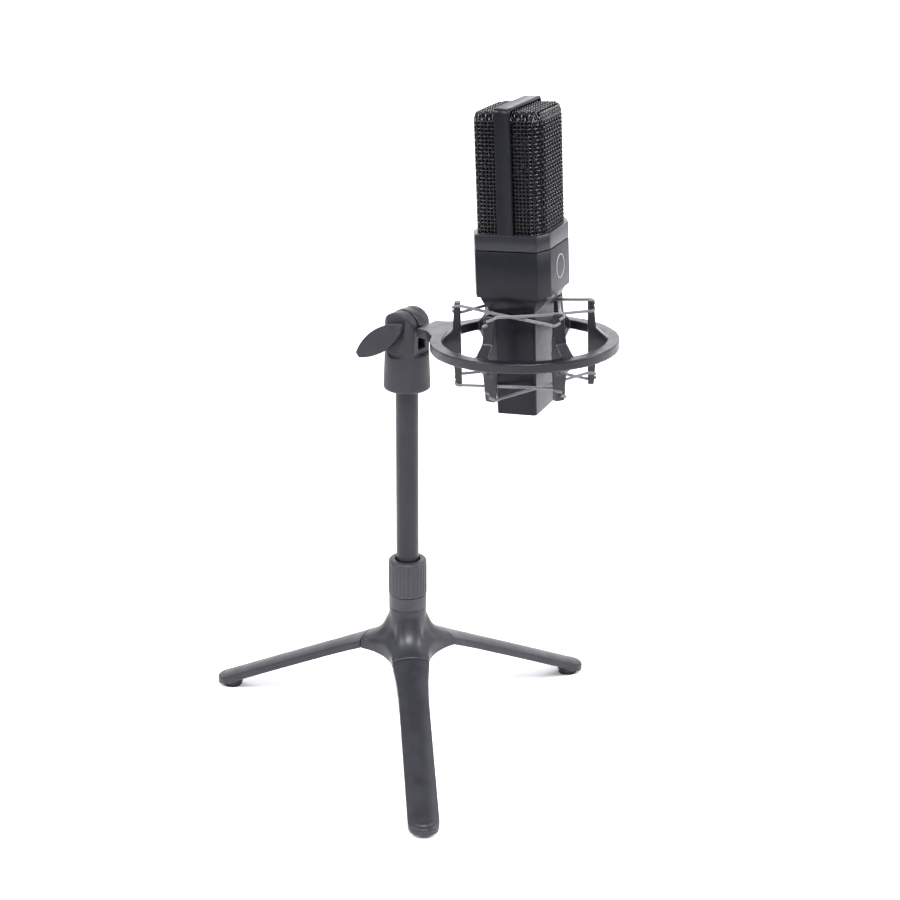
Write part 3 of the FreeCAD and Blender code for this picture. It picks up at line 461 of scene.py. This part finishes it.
def woven_grille(inset, radius, pitch):
    """Over-and-under wires up the sides, round the sides, and both ways across the top."""
    runs = []
    lift = radius * WEAVE_LIFT
    sunk = inset - GRILLE_INSET
    posts = cage_path(inset, pitch)
    rows = int((GRILLE_TOP - GRILLE_ROUND - GRILLE_BOTTOM) / pitch)
    for column, (spot, out) in enumerate(posts):
        run = []
        for row in range(rows + 1):
            side = 1 if (row + column) % 2 else -1
            place = spot + out * lift * side
            run.append((place.x, place.y, GRILLE_BOTTOM + row * pitch))
        runs.append(run)
    for row in range(rows + 1):
        run = []
        for column, (spot, out) in enumerate(posts + posts[:1]):
            side = -1 if (row + column) % 2 else 1
            place = spot + out * lift * side
            run.append((place.x, place.y, GRILLE_BOTTOM + row * pitch))
        runs.append(run)
    corners = cage_outline(inset)
    half_depth, half_width = HEAD_DEPTH / 2, HEAD_WIDTH / 2
    across, along = int(half_depth / pitch), int(half_width / pitch)
    for lines, crossings, swap in ((across, along, False), (along, across, True)):
        for line in range(-lines, lines + 1):
            run = []
            for crossing in range(-crossings, crossings + 1):
                x, y = line * pitch, crossing * pitch
                if swap:
                    x, y = y, x
                if edge_distance(x, y, corners) < -EDGE_SLACK:
                    continue
                side = 1 if (line + crossing) % 2 == swap else -1
                run.append((x, y, top_height(x, y, corners) - sunk + lift * side))
            if len(run) < 2:
                continue
            step = Vector((pitch, 0)) if swap else Vector((0, pitch))
            first, last = (Vector(run[end][:2]) for end in (0, -1))
            ends = [[(x, y, z - sunk) for x, y, z in rolled_end(spot, way, corners)]
                    for spot, way in ((first, -step), (last, step))]
            runs.append(ends[0][::-1] + run + ends[1])
    return runs


def split_runs(runs, side):
    """The stretches of the runs on one side of the hoop's middle plane."""
    kept = []
    for run in runs:
        stretch = []
        for point in run:
            if point[0] * side >= -SPLIT_SLACK:
                stretch.append(point)
            elif stretch:
                kept.append(stretch)
                stretch = []
        kept.append(stretch)
    return [stretch for stretch in kept if len(stretch) > 1]


def build_grille():
    """The coarse woven cage, and the fine dark mesh behind it."""
    layers = (("woven", GRILLE_INSET, WIRE_RADIUS, WIRE_PITCH, WIRE_SIDES),
              ("fine_mesh", GRILLE_INSET + LINER_DEPTH, LINER_RADIUS, LINER_PITCH, LINER_SIDES))
    for layer, inset, radius, pitch, sides in layers:
        runs = woven_grille(inset, radius, pitch)
        for node, side in (("grille_front", 1), ("grille_rear", -1)):
            piece = wires(f"{layer}_{node}", split_runs(runs, side), radius, sides, "grille_wire", MIC)
            finish_piece(piece, node)


# ---------------------------------------------------------------- elastic suspension
POST_RADIUS, POST_TIP, POST_HALF_WIDTH = 35.8, 3.2, 2.7
POST_TURN, STRAND_TURN = 60, 120            # degrees: post to post, and along one strand
CORD_RADIUS, CORD_SIDES, CORD_ROUND, CORD_STEPS = 0.82, 10, 1.5, 5
CORD_OUTER, CORD_INNER = 22.2, 17.2
CORD_GAP = 0.05
# The cord's corner on the body, below and above the ring.
BODY_HALF_DEPTH, BODY_HALF_WIDTH = (11.25, 11.95), (16.25, 16.95)


def post_turn(turn, level, side, way):
    """The cord round the back of a post, from its tucked end to where it leaves at the front."""
    back = POST_RADIUS + POST_TIP / 2 + CORD_RADIUS * 0.5
    half = POST_HALF_WIDTH + CORD_RADIUS * 0.6
    # Each point's drop along the post, its distance out from the ring's middle, and its shift across.
    path = ((1.6, back, -0.2), (0.6, back, half * 0.8), (0.0, back - 1.4, half),
            (0.0, POST_RADIUS - 2.2, half * 0.9))
    points = []
    for drop, reach, shift in path:
        spot = Vector((reach * math.cos(turn), reach * math.sin(turn), (level - drop * way) * side))
        points.append(spot + Vector((-math.sin(turn), math.cos(turn), 0)) * (shift * way))
    return points


def strand_points(angle, side):
    """One strand: round the back of its post, straight to the microphone's corner, on to the post
    after next."""
    first = math.radians(angle) - MIC_TURN
    second = first + math.radians(STRAND_TURN)
    start = post_turn(first, CORD_OUTER, side, 1)
    end = post_turn(second, CORD_INNER, side, -1)[::-1]
    normal = first + math.radians(STRAND_TURN / 2)
    out = Vector((math.cos(normal), math.sin(normal), 0))
    above = 1 if side > 0 else 0
    corner = Vector((math.copysign(BODY_HALF_DEPTH[above], out.x),
                     math.copysign(BODY_HALF_WIDTH[above], out.y), 0))
    middle = []
    if corner.dot(out) + CORD_RADIUS > start[-1].dot(out):
        run = end[0] - start[-1]
        share = (corner - start[-1]).dot(run) / run.length_squared
        bend = corner + out * (CORD_RADIUS + CORD_GAP)
        bend.z = start[-1].z + share * run.z
        middle = [bend]
    return start + middle + end


def rounded_run(points, trim):
    """The points with each corner rolled into a short curve."""
    result = [points[0]]
    for before, corner, after in zip(points, points[1:], points[2:]):
        reach = min(trim, (before - corner).length / 2, (after - corner).length / 2)
        result += turned_corner(before, corner, after, reach, CORD_STEPS)
    result.append(points[-1])
    return result


def build_elastics():
    for node, side in (("elastic_upper", 1), ("elastic_lower", -1)):
        starts = [POST_TURN / 2 + POST_TURN * index for index in range(6)]
        runs = [rounded_run(strand_points(start, side), CORD_ROUND) for start in starts]
        finish_piece(wires(f"{node}_cord", runs, CORD_RADIUS, CORD_SIDES, "elastic_cord", MIC), node)


# ---------------------------------------------------------------- microphone body
BLOCK_LEVEL, COLLAR_LEVEL, BODY_LEVEL, TAIL_LEVEL = 30.4, 55.5, 20.6, -36.0
BODY_SIZE, TAIL_SIZE, BODY_CHAMFER = (24.0, 34.0), (22.4, 32.4), 1.1
NECK_INSET, NECK_BULGE, NECK_RINGS, NECK_ROUND = 2.2, 0.7, 8, 0.9
SEAM, WALL = 0.25, 1.5
BLOCK_EASE, BLOCK_FLOOR_REACH = 0.55, 11.0
COLLAR_EASE, COLLAR_WALL = 0.4, 2.7
BODY_EASE, BODY_ROUND = 0.35, 0.45
BAND_TOP, BAND_WIDTH, BAND_THICKNESS = 129.6, 8.8, 1.5
BAND_BEND, BAND_BEND_STEPS, BAND_SHARP_ANGLE = 3.4, 9, 40
# Half of the hoop's outer face, as distance in from its edge and depth: an eased edge, a flat ridge
# and a shallow channel.
BAND_FACE = ((0.0, 0.5), (0.15, 0.15), (0.5, 0.0), (1.1, 0.0), (1.5, 0.25))


def head_outline(inset, _level):
    """The head's outline, the same at every height."""
    return cage_outline(inset)


def slim_outline(inset, level):
    """The lower body's outline, which narrows a little towards its base."""
    share = clamped((level - TAIL_LEVEL) / (BODY_LEVEL - TAIL_LEVEL))
    depth, width = ((low + share * (high - low)) / 2 - inset for low, high in zip(TAIL_SIZE, BODY_SIZE))
    corner = BODY_CHAMFER
    return [Vector(pair) for pair in (
        (depth, corner - width), (depth, width - corner),
        (depth - corner, width), (corner - depth, width),
        (-depth, width - corner), (-depth, corner - width),
        (corner - depth, -width), (depth - corner, -width))]


def neck_outline(inset, level):
    """Between the slim body and the head's outline."""
    share = (level - BODY_LEVEL) / (BLOCK_LEVEL - BODY_LEVEL)
    pairs = zip(slim_outline(inset, BODY_LEVEL), cage_outline(inset + NECK_INSET))
    spread = share + NECK_BULGE * share * (1 - share)
    return [slim.lerp(wide, spread) for slim, wide in pairs]


def build_hoop():
    """The hoop up both sides and over the top, with eased edges and a shallow channel along it."""
    half, top, base = HEAD_WIDTH / 2, BAND_TOP, GRILLE_BOTTOM
    path = [Vector(pair) for pair in ((-half, base), (-half, top), (half, top), (half, base))]
    bends = []
    for before, corner, after in zip(path, path[1:], path[2:]):
        bends += turned_corner(before, corner, after, BAND_BEND, BAND_BEND_STEPS)
    line = [path[0]] + bends + [path[3]]
    edge = BAND_WIDTH / 2
    section = ([(inward - edge, depth) for inward, depth in BAND_FACE]
               + [(edge - inward, depth) for inward, depth in reversed(BAND_FACE)]
               + [(edge, BAND_THICKNESS), (-edge, BAND_THICKNESS)])
    rings = []
    for index, spot in enumerate(line):
        along = (line[min(index + 1, len(line) - 1)] - line[max(index - 1, 0)]).normalized()
        inward = Vector((along.y, -along.x))
        rings.append([(x, spot.x + inward.x * depth, spot.y + inward.y * depth) for x, depth in section])
    hoop = ringed("hoop", "head_band", rings, MIC, BAND_SHARP_ANGLE)
    shape = bmesh.new()
    shape.from_mesh(hoop.data)
    # The skin runs on from the last ring to the first: those faces go, and both ends are closed.
    last = len(line) - 1
    bridge = [face for face in shape.faces
              if {vertex.index // len(section) for vertex in face.verts} == {0, last}]
    bmesh.ops.delete(shape, geom=bridge, context="FACES_ONLY")
    bmesh.ops.holes_fill(shape, edges=[edge for edge in shape.edges if edge.is_boundary])
    bmesh.ops.recalc_face_normals(shape, faces=shape.faces)
    shape.to_mesh(hoop.data)
    shape.free()


def build_body():
    block_top, block_floor = COLLAR_LEVEL - SEAM, BLOCK_LEVEL + WALL
    shell("head_block", "head_shell", head_outline,
          eased_side(BLOCK_LEVEL, block_top, BLOCK_EASE)
          + [(WALL, block_top), (WALL, block_floor),
             (BLOCK_FLOOR_REACH, block_floor), (BLOCK_FLOOR_REACH, BLOCK_LEVEL)])
    collar_low = COLLAR_LEVEL + SEAM
    shell("collar_trim", "head_collar", head_outline,
          eased_side(collar_low, GRILLE_BOTTOM, COLLAR_EASE)
          + [(COLLAR_WALL, GRILLE_BOTTOM), (COLLAR_WALL, collar_low)])
    steps = [BODY_LEVEL + (BLOCK_LEVEL - BODY_LEVEL) * step / NECK_RINGS for step in range(NECK_RINGS + 1)]
    shell("neck", "neck_transition", neck_outline,
          [(0, level) for level in steps] + [(WALL, level) for level in reversed(steps)], NECK_ROUND)
    shell("slim_body", "lower_body", slim_outline,
          eased_side(TAIL_LEVEL, BODY_LEVEL, BODY_EASE)[:3]
          + [(0, BODY_LEVEL), (WALL, BODY_LEVEL), (WALL, TAIL_LEVEL)], BODY_ROUND)
    build_hoop()


# ---------------------------------------------------------------- mouldings
# For each CAD node: the piece's name, the size of its skin's faces, and the relaxing passes.
SOFT_MOULDINGS = {
    "front_leg": ("front_leg_moulding", 0.5, 6), "left_leg": ("left_leg_moulding", 0.5, 6),
    "swivel_body": ("swivel_moulding", 0.35, 16), "thumb_screw_knob": ("thumb_screw_leaf", 0.25, 12),
    "shock_mount_frame": ("ring_and_posts", 0.45, 2), "lock_collar": ("lock_collar_grip", 0.25, 1),
}
HUB_SKIN, HUB_PASSES, BLEND_PASSES = 0.55, 6, 200
# The blend is full out to the core, gone at the edge, and fades out up the neck. The underside and
# the bore are left alone.
HUB_CORE, HUB_EDGE, HUB_BORE = 19.0, 25.0, 9.5
BLEND_TOP, BLEND_FADE, HUB_UNDERSIDE = 76.0, 4.0, 51.5


def build_hub():
    """The hub with its fixed leg: the sweep between neck and arms is blended, the seams stay put."""
    piece = baked(fine_skin("hub_with_fixed_leg", "hub_moulding", HUB_SKIN))
    blend = piece.vertex_groups.new(name="blend")
    for vertex in piece.data.vertices:
        reach = math.hypot(vertex.co.x - HINGE.x, vertex.co.y - HINGE.y) / MM
        if vertex.co.z < HUB_UNDERSIDE * MM or reach < HUB_BORE:
            continue
        weight = clamped((HUB_EDGE - reach) / (HUB_EDGE - HUB_CORE))
        weight *= clamped((BLEND_TOP - vertex.co.z / MM) / BLEND_FADE)
        if weight > 0:
            blend.add([vertex.index], weight, "REPLACE")
    for label, passes, group in (("whole", HUB_PASSES, ""), ("blend", BLEND_PASSES, "blend")):
        relax = piece.modifiers.new(label, "SMOOTH")
        relax.iterations = passes
        relax.factor = RELAX
        relax.vertex_group = group
    finish_piece(baked(piece), "hub_with_fixed_leg")


def build_pieces():
    for node, (name, voxel, passes) in SOFT_MOULDINGS.items():
        softened(node, name, voxel, passes)
    build_hub()
    build_body()


def paint_frame():
    """Give every CAD node the finish of its material slot."""
    for name, node in NODES.items():
        node.data.materials.clear()
        node.data.materials.append(FINISHES[SLOTS[name]])


# ---------------------------------------------------------------- studio
# Studio and camera lengths are in metres, apart from the camera's place, sensor and lens.
FLOOR_FRONT, CURVE_START, CURVE_RADIUS, CURVE_STEPS = -2.2, 0.75, 0.35, 10
SWEEP_BACK, SWEEP_TOP, SWEEP_HALF_WIDTH = 1.1, 2.2, 2.4
WORLD_COLOUR, WORLD_STRENGTH = (0.88, 0.91, 1.0, 1), 0.42
LIGHT_AIM = (0, 0, 0.2)
# Each softbox's name, place, size and power.
SOFTBOXES = (
    ("left_softbox", (-1.3, -0.5, 1.2), (0.5, 1.1), 34),
    ("right_softbox", (1.4, -0.1, 1.0), (0.5, 1.1), 30),
    ("top_softbox", (0.0, -0.95, 1.35), (0.6, 0.4), 44),
)


def soft_light(name, place, size, power):
    light = bpy.data.lights.new(name, "AREA")
    light.shape = "RECTANGLE"
    light.size, light.size_y = size
    light.energy = power
    lamp = bpy.data.objects.new(name, light)
    lamp.location = place
    lamp.rotation_euler = (Vector(LIGHT_AIM) - Vector(place)).to_track_quat("-Z", "Y").to_euler()
    bpy.context.scene.collection.objects.link(lamp)


def build_sweep():
    """A pale floor that curves up behind the object."""
    points = [(FLOOR_FRONT, 0.0)]
    for step in range(CURVE_STEPS + 1):
        angle = math.radians(90 * step / CURVE_STEPS)
        points.append((CURVE_START + CURVE_RADIUS * math.sin(angle),
                       CURVE_RADIUS - CURVE_RADIUS * math.cos(angle)))
    points.append((SWEEP_BACK, SWEEP_TOP))
    mesh = bpy.data.meshes.new("pale_sweep")
    vertices = [(side * SWEEP_HALF_WIDTH, y, z) for y, z in points for side in (-1, 1)]
    faces = [(2 * i, 2 * i + 1, 2 * i + 3, 2 * i + 2) for i in range(len(points) - 1)]
    mesh.from_pydata(vertices, [], faces)
    sweep = plain_object("pale_sweep", mesh)
    for face in mesh.polygons:
        face.use_smooth = True
    paper = Finish("sweep_paper", Specular_IOR_Level=0.2)
    paper.tint(paper.noise(3.0), (0.86, 0.86, 0.87), (0.90, 0.90, 0.905))
    paper.shader.inputs["Roughness"].default_value = 0.8
    mesh.materials.append(paper.material)


def build_studio():
    """The pale sweep, an even pale world, and softboxes at the left, the right and above the front."""
    build_sweep()
    world = bpy.context.scene.world or bpy.data.worlds.new("studio")
    bpy.context.scene.world = world
    world.use_nodes = True
    backdrop = world.node_tree.nodes["Background"]
    backdrop.inputs["Color"].default_value = WORLD_COLOUR
    backdrop.inputs["Strength"].default_value = WORLD_STRENGTH
    for softbox in SOFTBOXES:
        soft_light(*softbox)


CAMERA_PLACE = (-66.8, -974.6, 542.7)
CAMERA_TURN, CAMERA_PITCH, CAMERA_ROLL = math.radians(-5.2), math.radians(19.95), math.radians(0.29)
CAMERA_SENSOR, CAMERA_LENS, CAMERA_NEAR = 36.0, 74.5, 0.05


def build_camera():
    """The view from a little above, along the stand's front leg."""
    camera = bpy.data.cameras.new("camera")
    camera.sensor_width = CAMERA_SENSOR
    camera.lens = CAMERA_LENS
    camera.clip_start = CAMERA_NEAR
    eye = bpy.data.objects.new("camera", camera)
    turn = Matrix.Rotation(CAMERA_TURN, 4, "Z") @ Matrix.Rotation(math.pi / 2 - CAMERA_PITCH, 4, "X")
    turn = turn @ Matrix.Rotation(CAMERA_ROLL, 4, "Z")
    eye.matrix_world = Matrix.Translation(Vector(CAMERA_PLACE) * MM) @ turn
    bpy.context.scene.collection.objects.link(eye)
    bpy.context.scene.camera = eye


build_camera()
build_studio()
bpy.context.scene.view_settings.view_transform = "Standard"
paint_frame()
build_pieces()
build_grille()
build_elastics()
